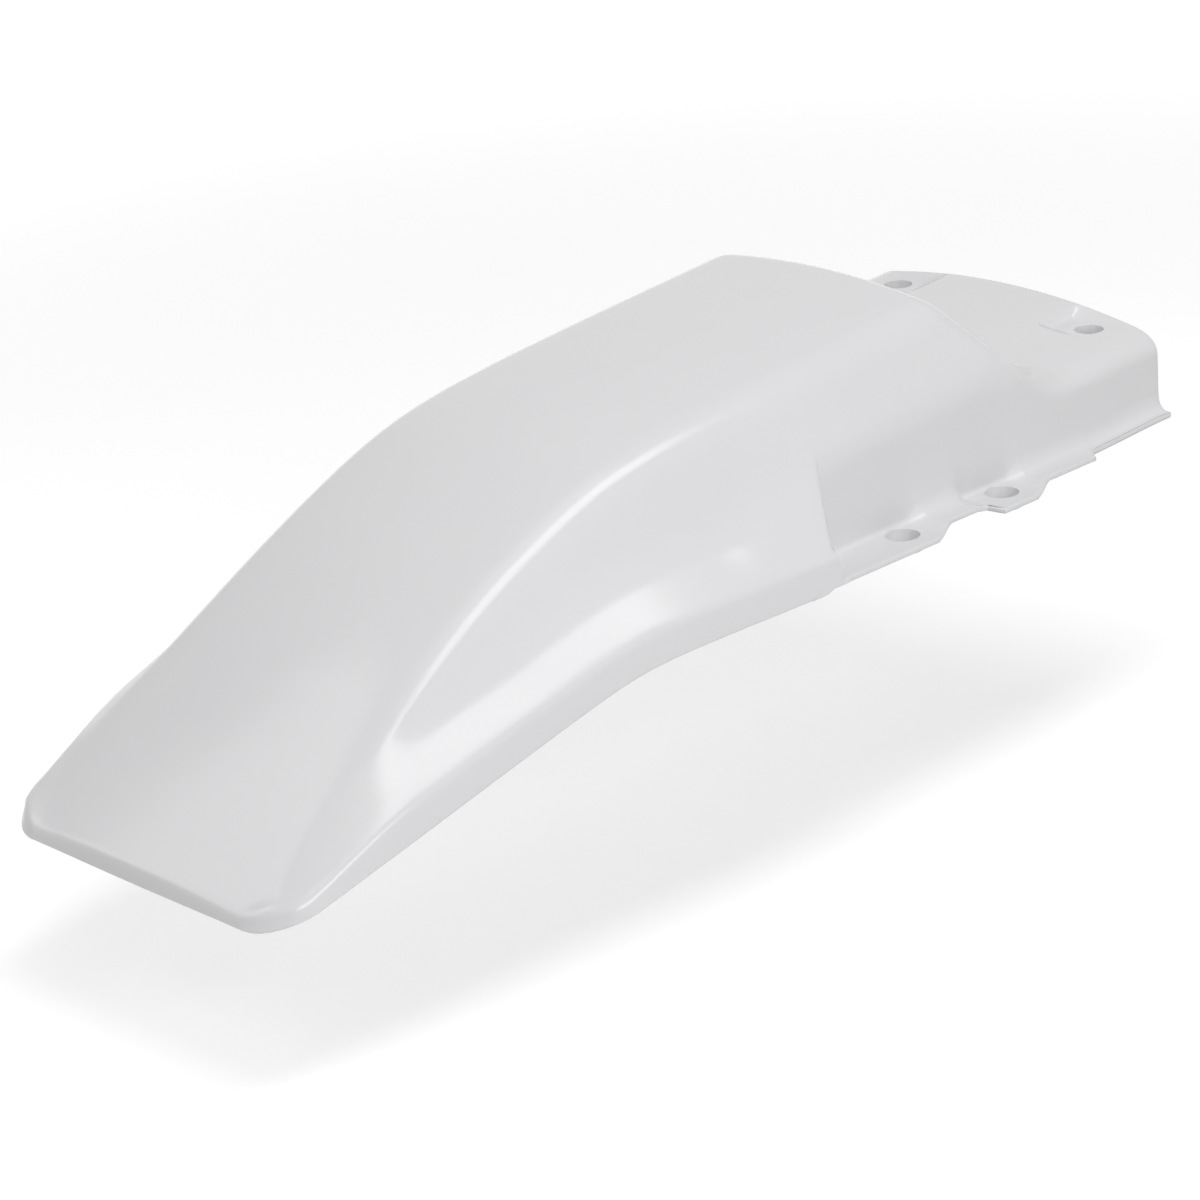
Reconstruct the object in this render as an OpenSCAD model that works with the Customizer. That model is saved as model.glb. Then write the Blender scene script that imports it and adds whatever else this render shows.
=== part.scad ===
// Rear fender of an off-road motorcycle: one thin moulded shell with a raised
// crown, side flanges with a turned-down lip, and a lower section that bolts on.
// X points to the front of the motorcycle, Y to its left, Z up.
// The origin is the middle of the four side holes, on the upper face of their tabs.

/* [Shell] */
// Thickness of the moulded wall
wall = 3; // [2.4:0.1:3.4]
// Distance from the origin back to the tail end
tail_reach = 449; // [425:1:480]
// Distance from the origin forward to the front edge
front_reach = 173; // [169:1:190]

/* [Crown] */
// Height of the shoulder line where its two falls would cross
shoulder_z = 82.2; // [76:0.1:88]
// Distance of each shoulder from the middle plane
shoulder_y = 79.3; // [72:0.1:84]
// Rise of the crown between the shoulders
crown_rise = 6.5; // [3:0.5:12]
// Rise of the crown at the tail end
tail_rise = 2; // [0:0.5:6]
// Length of the rounding on each side of a shoulder
shoulder_round = 13; // [8:0.5:16]
// Place of the bend between the level and the falling part
bend_x = -212; // [-230:1:-195]
// Length over which the shoulders bend
bend_soft = 47; // [25:1:60]
// Fall of the shoulders ahead of the bend, per length
top_slope = 0.071; // [0:0.001:0.12]
// Fall of the shoulders behind the bend, per length
fall_slope = 0.521; // [0.44:0.001:0.58]
// Extra droop of the crown at the tail end
tail_droop = 24; // [14:0.5:26]
// Place where that droop begins
droop_x = -270; // [-300:1:-240]

/* [Flange and lip] */
// Half width across the lip at the tail end
tail_half = 102.5; // [96:0.5:108]
// Half width across the lip at its front end
flare_half = 131.5; // [130:0.5:138]
// Outward bulge of the side outline, as a share of its taper
side_bulge = 0.22; // [0:0.01:0.6]
// Radius of the tail corners in plan
corner_r = 23.2; // [18:0.1:32]
// Bow of the tail end beyond its corners
end_bow = 4.2; // [0:0.1:8]
// Radius of the rounded edge above the lip
edge_r = 6; // [5:0.5:8]
// Height of the lip along the sides
lip_h = 17; // [14:0.5:20]
// Height of the lip at the tail end
lip_tail_h = 8; // [7:0.5:10]
// Outward lean of the lip over its height
lip_lean = 1; // [0:0.25:2]
// Height of the lip's lower edge where its two falls would cross
lip_z = -3.2; // [-8:0.1:-2]
// Place of the bend of the lip
lip_bend_x = -232; // [-245:1:-215]
// Length over which the lip bends
lip_bend_soft = 25; // [10:1:40]
// Fall of the lip behind its bend, per length
lip_fall = 0.312; // [0.27:0.001:0.33]
// Fall of the lip ahead of its bend, per length
lip_rise = 0.01; // [0:0.005:0.03]
// Rounding of the lip's lower front corner
lip_front_round = 5; // [2:0.5:8]
// Slope of the flange along the sides, in degrees
flange_angle = 37; // [32:1:40]
// Slope of the flange at the tail end, in degrees
paddle_angle = 8; // [4:1:12]
// Distance of the flange's inner foot from the middle plane
foot_tail_y = 90.4; // [88:0.1:93]
// Place where the flared side ends
flare_x = -105.3; // [-110:0.1:-100]
// Forward slant of that end between the lip and the flank
flare_slant = 22; // [14:1:26]
// Rounding along the edge and the foot of that end
end_round = 5; // [3:0.5:6]

/* [Mount section] */
// Distance of the side walls from the middle plane
wall_y = 101; // [100:0.25:101.5]
// Drop from the shoulder line to the top of the side walls
flank_drop = 40; // [36:1:43]
// Height of the middle of the front panel at the front edge
panel_z = 55.3; // [52:0.1:58]
// Rise of the front panel towards the front, per length
panel_pitch = 0.056; // [0.02:0.002:0.07]
// Rise of the arch across the front panel
panel_rise = 10.8; // [8:0.1:12]
// Length of the rounding at the sides of the front panel
panel_round = 15.7; // [10:0.1:17]
// Place where the crown ends above the front panel
crown_front = 29; // [24:1:34]
// Fall of the step from the crown to the front panel, per length
step_slope = 1.15; // [1:0.05:1.4]
// Softness of the step's upper edge
step_round = 8.5; // [4:0.5:10]
// Distance by which the step's edge lies further back at the shoulders
step_bow = 5; // [0:0.5:12]

/* [Side tabs] */
// Spacing of the side holes along the fender
tab_pitch = 75; // [72:0.5:78]
// Spacing of the side holes across the fender
tab_span = 220; // [219:0.5:221]
// Diameter of the side holes
tab_bore = 17.5; // [10:0.5:17.5]
// Half width across the side tabs
tab_half = 127.7; // [125:0.1:129]
// Half width across the flange between the tabs
rim_half = 117.2; // [114:0.1:120]
// Half width across the flange at the front edge
nose_half = 110; // [107:0.5:112]
// Height of the flange at the front edge
nose_lift = 4; // [1.5:0.25:5]
// Length of a tab ahead of its hole
tab_ahead = 8.1; // [4:0.1:10]
// Length of the slanted end of a tab
tab_slant = 21; // [16:1:24]
// Length of the front tab behind its hole
tab_behind = 18.8; // [15:0.1:20]
// Height of the plain flange above the tabs
rim_lift = 1.5; // [0:0.25:2]
// Rounding between the side wall and the plain flange
rim_round = 9; // [6:0.5:10]
// Rounding between the side wall and a tab
tab_round = 3; // [2:0.5:4]
// Depth by which a tab cuts into the foot of the side wall
pocket_depth = 1.3; // [0.5:0.1:1.5]
// Diameter of the thick ring below a side hole
tab_boss = 22.5; // [21.5:0.5:23]
// Place of the notch in the front flange
notch_x = 103.2; // [100:0.1:110]

/* [Front holes] */
// Distance of the front holes from the front edge
seat_setback = 17; // [16:0.5:22]
// Spacing of the front holes across the fender
seat_hole_span = 138; // [134:1:142]
// Diameter of the front holes
seat_bore = 15.5; // [8:0.5:16]
// Height of the flat pads of the front holes
pad_z = 47.3; // [46.8:0.1:48]
// Distance from a front hole to the inner wall of its pad
pad_inner = 19; // [17:0.5:22]
// Distance from a front hole back to the end of its pad
pad_back = 13; // [12.5:0.5:15]
// Distance from a front hole forward to the rim of its pad
pad_ahead = 9.5; // [9:0.5:12]
// Diameter of the thick ring below a front hole
seat_boss = 22; // [19:0.5:23]
// Full depth of the holes with their rings
boss_depth = 7; // [6:0.5:8]

/* [Hidden] */

// Points on the stretches of half a section
crown_steps = 7;
arc_steps = 4;
edge_steps = 4;
low_start = crown_steps + arc_steps + 1;
deck_last = low_start + arc_steps + 1;
half_last = deck_last + edge_steps + 1;

tail_x = -tail_reach;
straight_x = tail_x + corner_r;
paddle_x = tail_x + 86;
swell_x = tail_x + 116;
spread_x = flare_x - 15;
blend_x = flare_x - 65;
lip_corner_x = flare_x - 13;
bend_start = bend_x - 48;
bend_end = bend_x + 47;
slant_reach = 75;
hole_x = tab_pitch / 2;
hole_y = tab_span / 2;
seat_hole_x = front_reach - seat_setback;
seat_hole_y = seat_hole_span / 2;
nose_wall_y = wall_y + 1;
draft = 1.2;
foot_round = 12;
wall_round = 9;
step_crease = 16;
floor_round = 5;
side_round = 34;
pad_ramp = 4;
nose_wall_top = 22;
nose_start = crown_front + 11;
nose_end = crown_front + 63;
round_start = crown_front + 45;
round_end = crown_front + 67;
step_lead = 8;
boss_overlap = 1.5;
cut_extra = 12;
nose_ramp = 5;
pocket_start = 6;
pocket_end = 14;
pocket_lead = 8;
// Shares of the straight lengths that roundings may take
arc_share = 0.45;
rim_round_share = 0.8;
// Share of the slant that is lost at the foot of the flared side
foot_unslant = 0.3;
// Most that the two sections lean towards each other at the flared end
lean_share = 0.5;

rear_tab_front = -hole_x + tab_ahead;
rear_tab_end = rear_tab_front + tab_slant;
front_tab_back = hole_x - tab_behind;
front_tab_front = hole_x + tab_ahead;
front_tab_end = front_tab_front + tab_slant;
pad_inner_y = seat_hole_y - pad_inner;
pad_back_x = seat_hole_x - pad_back;
pad_front_x = seat_hole_x + pad_ahead;
step_start = crown_front - 28;
step_end = crown_front + 62;

// Change from 0 at a to 1 at b, straight and smooth
function ramp(x, a, b) = min(1, max(0, (x - a) / (b - a)));
function ease(x, a, b) = let (t = ramp(x, a, b)) t * t * (3 - 2 * t);
function mix(a, b, t) = a + (b - a) * t;
function unit(v) = v / norm(v);
// Two straight falls joined by a soft bend
function bend(x, x0, z0, back, ahead, soft) =
    z0 + (back + ahead) / 2 * (x - x0) - (back - ahead) / 2 * sqrt((x - x0) ^ 2 + soft ^ 2);
// Lesser and greater of two heights, rounded where they cross
function soft_min(a, b, r) = let (h = max(r - abs(a - b), 0) / r) min(a, b) - h * h * r / 4;
function soft_max(a, b, r) = -soft_min(-a, -b, r);
// Rounded corner from a to b, drawn towards c
function corner(a, c, b, n) =
    [for (k = [0:n]) let (u = k / n) (1 - u) ^ 2 * a + 2 * u * (1 - u) * c + u ^ 2 * b];
// Evenly spaced places after a, up to b
function run(a, b, n) = [for (k = [1:n]) mix(a, b, k / n)];

// Lines along the fender
function shoulder_line(x) =
    bend(x, bend_x, shoulder_z, fall_slope, top_slope, bend_soft) - tail_droop * ramp(x, droop_x, tail_x) ^ 2;
function rise(x) = mix(tail_rise, crown_rise, ease(x, tail_x, swell_x));
function lip_line(x) = bend(x, lip_bend_x, lip_z, lip_fall, lip_rise, lip_bend_soft);
function lip_end(x) = lip_line(x) + lip_front_round * ramp(x, lip_corner_x, flare_x) ^ 2;
function edge_line(x) = lip_line(x) + mix(lip_tail_h, lip_h, ease(x, tail_x, paddle_x));
function side_half(x) =
    let (t = ramp(x, tail_x, flare_x))
    mix(tail_half, flare_half, t * (1 + side_bulge) - side_bulge * t * t);
function wall_at(x) = mix(wall_y, nose_wall_y, ease(x, crown_front, nose_end));
function wall_top(x) = mix(shoulder_line(x) - flank_drop, nose_wall_top, ease(x, nose_start, nose_end));
function step_line(x, y) =
    shoulder_line(crown_front) + crown_rise - step_slope * (x - crown_front + step_bow * (y / shoulder_y) ^ 2);

// Skin between the shoulders: crown, step, and panel with its pads
function crown(x, y) = shoulder_line(x) + rise(x) * (1 - (y / shoulder_y) ^ 2);
function arch(x, y) = panel_z - panel_pitch * (front_reach - x) - panel_rise * (y / nose_wall_y) ^ 2;
function pad_share(x, y) =
    ramp(x, pad_back_x - pad_ramp, pad_back_x) * (1 - ramp(x, pad_front_x, front_reach))
    * ramp(y, pad_inner_y - pad_ramp, pad_inner_y);
function panel(x, y) = let (z = arch(x, y)) z - pad_share(x, y) * max(0, z - pad_z);
function step_skin(x, y, top, floor) =
    let (soft = mix(floor_round, side_round, (y / shoulder_y) ^ 4))
    soft_max(floor, soft_min(top, step_line(x, y), step_round), soft);
function top_skin(x, y) =
    x < step_start ? crown(x, y)
    : x > step_end + step_lead ? panel(x, y)
    : step_skin(x, y, crown(x, y), arch(x, y));

// Corners of half a section, which its roundings are drawn to
function shoulder_at(x) =
    let (full = shoulder_line(x),
         z = x < step_start ? full : step_skin(x, shoulder_y, full, arch(x, nose_wall_y)))
    [min(wall_at(x), shoulder_y + max(0, full - z) * (wall_at(x) - shoulder_y) / flank_drop), z];
function foot_at(x) =
    let (y = mix(foot_tail_y, wall_y, ease(x, swell_x, spread_x)),
         a = mix(paddle_angle, flange_angle, ease(x, tail_x, paddle_x)))
    [y, mix(edge_line(x) + (side_half(x) - y) * tan(a), wall_top(x), ease(x, blend_x, flare_x))];
function lip_top_at(x) = [side_half(x), edge_line(x)];
function wall_top_at(x) = [wall_at(x), wall_top(x)];
function shoulder_reach(x) =
    mix(mix(shoulder_round, step_crease, ease(x, crown_front - step_lead, crown_front + step_lead)),
        panel_round, ease(x, round_start, round_end));

// Outer edge of the mount section, and its flange with the tabs
function rim_edge(x) =
    x < rear_tab_front ? tab_half
    : x < front_tab_back ? mix(tab_half, rim_half, ramp(x, rear_tab_front, rear_tab_end))
    : x < notch_x ? mix(rim_half, tab_half,
        ramp(x, front_tab_back, front_tab_back + draft) * (1 - ramp(x, front_tab_front, front_tab_end)))
    : mix(rim_half, nose_half, ramp(x, notch_x, notch_x + nose_ramp));
function tab_share(x) =
    max(1 - ramp(x, rear_tab_front + pocket_start, rear_tab_front + pocket_end),
        ease(x, front_tab_back - pocket_lead, front_tab_back)
        * (1 - ramp(x, front_tab_front + pocket_start, front_tab_front + pocket_end)));
function rim_z(x) = mix(rim_lift * (1 - tab_share(x)), nose_lift, ease(x, notch_x, front_reach));
function rim_corner(x) =
    let (y = wall_at(x) - pocket_depth * tab_share(x), z = rim_z(x),
         r = mix(rim_round, tab_round, tab_share(x)), out = min(r, rim_round_share * (rim_edge(x) - y)))
    [[y, z + r], [y, z], [y + out, z]];

// Slope at which the flange meets its rounded edge, in degrees
function edge_slope(x) =
    let (f = foot_at(x), e = lip_top_at(x)) atan((f[1] - e[1]) / (e[0] - f[0]));
function edge_inset(a) = edge_r * (1 - sin(a));

// Places across the crown, drawn to the inner walls of the pads near the front
function crown_y(x, k, last) =
    let (near_wall = k < 4 ? (pad_inner_y - pad_ramp) * k / 3
        : mix(pad_inner_y, last, (k - 4) / (crown_steps - 4)))
    mix(last * k / crown_steps, near_wall, ease(x, step_end, pad_back_x - pad_ramp));

// Half a section, from the middle plane to where its edge or its rim begins
function half_deck(x, flared) =
    let (s = shoulder_at(x), q = flared ? foot_at(x) : wall_top_at(x),
         a = edge_slope(x), in = edge_inset(a),
         e = flared ? lip_top_at(x) + in * [-1, tan(a)] : rim_corner(x)[0],
         last = s[0] - shoulder_reach(x), t = min(shoulder_reach(x), arc_share * norm(q - s)),
         f = min(flared ? foot_round : wall_round, arc_share * norm(q - s), arc_share * norm(e - q)))
    concat(
        [for (k = [0:crown_steps - 1]) let (y = crown_y(x, k, last)) [y, top_skin(x, y)]],
        corner([last, top_skin(x, last)], s, s + t * unit(q - s), arc_steps),
        corner(q + f * unit(s - q), q, q + f * unit(e - q), arc_steps),
        [e]);

// Stations along the fender, with close ones at the tail corners and at the flared end
corner_turns = [90, 72, 54, 36, 18];
end_shares = [1, 0.5, 0.15, 0];
corner_rows = [for (t = corner_turns) tail_x + corner_r * (1 - sin(t))];
flared_rows = concat(
    corner_rows, [straight_x], run(straight_x, bend_start, 10), run(bend_start, bend_end, 7),
    run(bend_end, lip_corner_x, 3), [for (t = end_shares) flare_x - end_round * t]);
mount_rows = concat(
    [for (t = reversed(end_shares)) flare_x + draft + end_round * t],
    run(flare_x + draft + end_round, rear_tab_front, 4),
    run(rear_tab_front, rear_tab_end, 2), run(rear_tab_end, front_tab_back, 2),
    [front_tab_back + draft], run(front_tab_back + draft, front_tab_front, 5),
    run(front_tab_front, front_tab_end, 4), run(front_tab_end, step_end, 5),
    [notch_x, notch_x + nose_ramp], run(notch_x + nose_ramp, pad_back_x - pad_ramp, 2),
    [pad_back_x], run(pad_back_x, pad_front_x, 2), run(pad_front_x, front_reach, 2));
row_x = concat(flared_rows, mount_rows);
flared_count = len(flared_rows);
last_row = len(row_x) - 1;
function turn(i) = i < len(corner_turns) ? corner_turns[i] : 0;
function is_flared(i) = i < flared_count;
function is_flare_end(i) = i == flared_count - 1 || i == flared_count;

// The flared side's end slants forward above the lip
function slant(n, x) =
    let (low = foot_unslant * ramp(n, low_start, deck_last - 1), far = ramp(abs(x - flare_x), 0, slant_reach))
    n == deck_last ? 0 : flare_slant * (1 - low) * (1 - far);

// Slopes of the edge around the tail corners, and of the skin across the tail end
slope_run = 10;
end_slope = (edge_line(tail_x + slope_run) - edge_line(tail_x)) / slope_run;
function row_slope(i, x) = atan(sin(turn(i)) * end_slope + cos(turn(i)) * tan(edge_slope(x)));
function tail_slope(y) =
    let (fall = (crown(tail_x + slope_run, y) - crown(tail_x, y)) / slope_run)
    atan(mix(end_slope, fall, 1 - (y / tail_half) ^ 2));

// Share of the way to the other section, d away, for the rounded edge and foot of the flared end
function lean(x, d) =
    let (t = 1 - ramp(min(abs(x - flare_x), abs(x - flare_x - draft)), 0, end_round))
    (1 - sqrt(1 - t ^ 2)) * min(lean_share, end_round / max(d, end_round));

// Point n of row i on the deck, moved back by a wall where a second skin is drawn
function plain_point(i, n, back) =
    let (x = row_x[i] + slant(n, row_x[i]) - back,
         p = half_deck(x, is_flared(i))[n], q = half_deck(x, !is_flared(i))[n])
    concat(x, mix(p, q, n == deck_last ? 0 : lean(row_x[i], norm(q - p))));
function corner_point(i, n) =
    let (in = edge_inset(row_slope(i, row_x[i])), x = row_x[i] + in * sin(turn(i)), d = half_deck(x, true),
         side = side_half(x) - corner_r * (1 - cos(turn(i))) - in * cos(turn(i)),
         y = d[n][0] * side / d[deck_last][0])
    [x, y, lookup(y, d)];
function deck_point(i, n, back) =
    let (p = turn(i) > 0 ? corner_point(i, n) : plain_point(i, n, back),
         out = end_bow * (1 - (p[1] / tail_half) ^ 2) * (1 - ramp(p[0], tail_x, paddle_x)))
    p - [out, 0, 0];

// Rounded edge and lip below point e, as points and outward normals
function lip_points(e, a, dir, bottom) =
    [for (k = [0:edge_steps + 1]) let (g = mix(a, 90, min(1, k / edge_steps)), out = edge_inset(a) + lip_lean)
        k > edge_steps
        ? [[e[0] + out * dir[0], e[1] + out * dir[1], bottom], [dir[0], dir[1], 0]]
        : [e + edge_r * [(sin(g) - sin(a)) * dir[0], (sin(g) - sin(a)) * dir[1], cos(g) - cos(a)],
           [sin(g) * dir[0], sin(g) * dir[1], cos(g)]]];
// Rounded foot and flange of the mount section, in the same form
function rim_points(e) =
    let (c = rim_corner(e[0]), arc = corner(c[0], c[1], c[2], edge_steps))
    [for (k = [0:edge_steps + 1])
        let (g = 90 * min(1, k / edge_steps), p = k > edge_steps ? [rim_edge(e[0]), c[1][1]] : arc[k])
        [[e[0], p[0], p[1]], [0, cos(g), sin(g)]]];
function band(i, back) =
    let (e = deck_point(i, deck_last, back), t = turn(i))
    is_flared(i) ? lip_points(e, row_slope(i, e[0]), [-sin(t), cos(t)], lip_end(e[0])) : rim_points(e);

// Left half of the outer skin, then of the inner one
deck = [for (i = [0:last_row]) [for (n = [0:deck_last]) deck_point(i, n, 0)]];
bands = [for (i = [0:last_row]) band(i, 0)];
outer_half = [for (i = [0:last_row]) concat(
    [for (n = [0:deck_last - 1]) deck[i][n]], [for (p = bands[i]) p[0]])];
function along(i, n) =
    outer_half[i == last_row || i == flared_count - 1 ? i : i + 1][n]
    - outer_half[i == 0 || i == flared_count ? i : i - 1][n];
function across(i, n) =
    n == 0 ? [0, 2 * outer_half[i][1][1], 0] : outer_half[i][n + 1] - outer_half[i][n - 1];
function skin_normal(i, n) =
    let (v = unit(cross(along(i, n), across(i, n)))) i == last_row ? unit([0, v[1], v[2]]) : v;
function inner_row(i) =
    let (back = is_flare_end(i) ? wall : 0, b = back > 0 ? band(i, back) : bands[i])
    concat(
        [for (n = [0:deck_last - 1]) deck[i][n] - wall * skin_normal(i, n)],
        [for (p = b) p[0] - wall * p[1]]);
inner_half = [for (i = [0:last_row]) inner_row(i)];

// Lip across the tail end, one list of points for each place across it
tail_bands = [for (n = [0:deck_last - 1])
    let (e = deck[0][n]) lip_points(e, tail_slope(e[1]), [-1, 0], lip_end(deck[0][deck_last][0]))];
function tail_level(k, depth) = [for (n = [0:deck_last - 1]) tail_bands[n][k][0] - depth * tail_bands[n][k][1]];

// Whole rows from the right side to the left, and their numbers in one list of points
function both_sides(half) =
    concat([for (n = [len(half) - 1:-1:1]) [half[n][0], -half[n][1], half[n][2]]], half);
row_len = 2 * half_last + 1;
level_len = 2 * deck_last - 1;
function skin(half, depth) = concat(
    [for (r = half) each both_sides(r)],
    [for (k = [1:edge_steps + 1]) each both_sides(tail_level(k, depth))]);
outer_skin = skin(outer_half, 0);
inner_skin = skin(inner_half, wall);
function row(i) = [for (c = [0:row_len - 1]) i * row_len + c];
function level(k) =
    let (first = half_last - deck_last, last = half_last + deck_last)
    k == 0 ? [for (c = [first:last]) c]
    : concat([first - k],
        [for (c = [0:level_len - 1]) (last_row + 1) * row_len + (k - 1) * level_len + c],
        [last + k]);
function strip(a, b) = [for (k = [0:len(a) - 2]) each [[a[k], a[k + 1], b[k + 1]], [a[k], b[k + 1], b[k]]]];
function flipped(faces) = [for (f = faces) [f[2], f[1], f[0]]];
function shifted(list, by) = [for (v = list) v + by];
function reversed(list) = [for (k = [len(list) - 1:-1:0]) list[k]];
skin_faces = concat(
    [for (i = [0:last_row - 1]) each strip(row(i), row(i + 1))],
    [for (k = [0:edge_steps]) each strip(level(k + 1), level(k))]);
rim_loop = concat(
    [for (i = [0:last_row]) i * row_len],
    [for (c = [1:row_len - 1]) last_row * row_len + c],
    [for (i = [last_row - 1:-1:0]) i * row_len + row_len - 1],
    [for (v = reversed(level(edge_steps + 1))) if (v >= row_len) v],
    [0]);
count = len(outer_skin);

module shell() {
    polyhedron(
        points = concat(outer_skin, inner_skin),
        faces = concat(
            skin_faces,
            [for (f = flipped(skin_faces)) shifted(f, count)],
            strip(rim_loop, shifted(rim_loop, count))),
        convexity = 8);
}

// Places of the holes: the four side tabs, then the two front pads
module at_tabs() {
    for (x = [-hole_x, hole_x], y = [-hole_y, hole_y])
        translate([x, y, 0]) children();
}
module at_pads() {
    for (y = [-seat_hole_y, seat_hole_y])
        translate([seat_hole_x, y, pad_z]) children();
}
module ring(d) {
    translate([0, 0, -boss_depth])
        cylinder(d = d, h = boss_depth - boss_overlap, $fn = 48);
}
module bore(d) {
    translate([0, 0, -boss_depth - cut_extra / 2])
        cylinder(d = d, h = boss_depth + cut_extra, $fn = 48);
}

module fender() {
    color([0.85, 0.85, 0.86])
    difference() {
        union() {
            shell();
            at_tabs() ring(tab_boss);
            at_pads() ring(seat_boss);
        }
        at_tabs() bore(tab_bore);
        at_pads() bore(seat_bore);
    }
}

fender();
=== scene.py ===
"""Looks of the rear fender of an off-road motorcycle: one moulded white shell."""

import logging
import math
from dataclasses import dataclass, field
from enum import Enum

import bmesh
import bpy
from mathutils import Matrix, Vector

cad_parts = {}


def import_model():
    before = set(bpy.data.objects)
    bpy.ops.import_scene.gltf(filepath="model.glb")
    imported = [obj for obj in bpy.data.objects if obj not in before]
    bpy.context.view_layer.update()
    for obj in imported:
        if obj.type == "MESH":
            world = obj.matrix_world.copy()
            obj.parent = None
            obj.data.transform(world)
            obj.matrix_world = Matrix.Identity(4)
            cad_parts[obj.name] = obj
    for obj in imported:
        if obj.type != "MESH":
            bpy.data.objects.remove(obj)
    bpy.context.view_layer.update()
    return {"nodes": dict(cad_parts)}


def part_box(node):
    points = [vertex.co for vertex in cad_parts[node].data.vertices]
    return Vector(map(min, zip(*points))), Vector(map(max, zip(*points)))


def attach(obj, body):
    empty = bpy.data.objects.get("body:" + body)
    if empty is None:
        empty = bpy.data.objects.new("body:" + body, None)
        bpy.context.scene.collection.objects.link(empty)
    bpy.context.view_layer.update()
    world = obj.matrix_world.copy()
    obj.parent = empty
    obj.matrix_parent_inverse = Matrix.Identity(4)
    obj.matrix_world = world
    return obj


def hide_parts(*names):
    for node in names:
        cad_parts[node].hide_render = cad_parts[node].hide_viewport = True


LOG = logging.getLogger("fender")
MM = 0.001
Point = tuple[float, float]
Span = tuple[float, float]
Place = tuple[float, float, float]
Colour = tuple[float, float, float, float]
WHITE: Colour = (1.0, 1.0, 1.0, 1.0)
BLACK: Colour = (0.0, 0.0, 0.0, 1.0)


class Side(Enum):
    """The two sides of the fender, by the sign of their Y."""

    RIGHT = -1
    LEFT = 1


class Stretch(Enum):
    """The stretches of half a section, from the middle plane outwards."""

    CROWN = "crown"
    SHOULDER = "shoulder"
    FLANK = "flank"
    FOOT = "foot"
    FLANGE = "flange"
    EDGE = "edge"
    LIP = "lip"


def mix(a: float, b: float, t: float) -> float:
    """Value at share t of the way from a to b."""
    return a + (b - a) * t


def ramp(x: float, a: float, b: float) -> float:
    """Straight change from 0 at a to 1 at b."""
    return min(1.0, max(0.0, (x - a) / (b - a)))


def ease(x: float, a: float, b: float) -> float:
    """Smooth change from 0 at a to 1 at b."""
    t = ramp(x, a, b)
    return t * t * (3 - 2 * t)


def soft_min(a: float, b: float, r: float) -> float:
    """Lesser of two heights, rounded over r where they cross."""
    h = max(r - abs(a - b), 0.0) / r
    return min(a, b) - h * h * r / 4


def soft_max(a: float, b: float, r: float) -> float:
    """Greater of two heights, rounded over r where they cross."""
    return -soft_min(-a, -b, r)


def bend(x: float, x0: float, z0: float, back: float, ahead: float, soft: float) -> float:
    """Height on two straight falls that a soft bend joins.

    Args:
        x: Place along the fender.
        x0: Place of the bend.
        z0: Height where the two falls would cross.
        back: Fall behind the bend, per length.
        ahead: Fall ahead of the bend, per length.
        soft: Length of the bend.

    Returns:
        The height at x.
    """
    return z0 + (back + ahead) / 2 * (x - x0) - (back - ahead) / 2 * math.hypot(x - x0, soft)


def toward(a: Point, b: Point, length: float) -> Point:
    """Point at a length from a on the way to b."""
    d = math.dist(a, b)
    return (a[0] + (b[0] - a[0]) * length / d, a[1] + (b[1] - a[1]) * length / d)


def corner(a: Point, c: Point, b: Point, u: float) -> Point:
    """Point at share u of a rounded corner from a to b, drawn towards c."""
    p, q, r = (1 - u) ** 2, 2 * u * (1 - u), u * u
    return (p * a[0] + q * c[0] + r * b[0], p * a[1] + q * c[1] + r * b[1])


def look_up(y: float, line: list[Point]) -> float:
    """Height of a line of points at y, straight between them.

    Args:
        y: Distance from the middle plane.
        line: Points as (distance, height), in order of their distance.

    Returns:
        The height at y.
    """
    for (y0, z0), (y1, z1) in zip(line, line[1:]):
        if y <= y1:
            return mix(z0, z1, ramp(y, y0, y1))
    return line[-1][1]


def grid_index(place: float, steps: int) -> int:
    """Number of a point on a grid that runs from -1 to 1 in steps."""
    return round((place + 1) / 2 * steps)


def as_mesh(bm: bmesh.types.BMesh, name: str) -> bpy.types.Mesh:
    """Turns a bmesh into a new mesh and frees it.

    Args:
        bm: The finished bmesh.
        name: Name of the mesh.

    Returns:
        The new mesh.
    """
    mesh = bpy.data.meshes.new(name)
    bm.to_mesh(mesh)
    bm.free()
    return mesh


def in_scene(name: str, data: bpy.types.ID) -> bpy.types.Object:
    """Puts a new object around a mesh, lamp or camera into the scene.

    Args:
        name: Name of the object.
        data: What the object shows.

    Returns:
        The new object.
    """
    thing = bpy.data.objects.new(name, data)
    bpy.context.scene.collection.objects.link(thing)
    return thing


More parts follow.
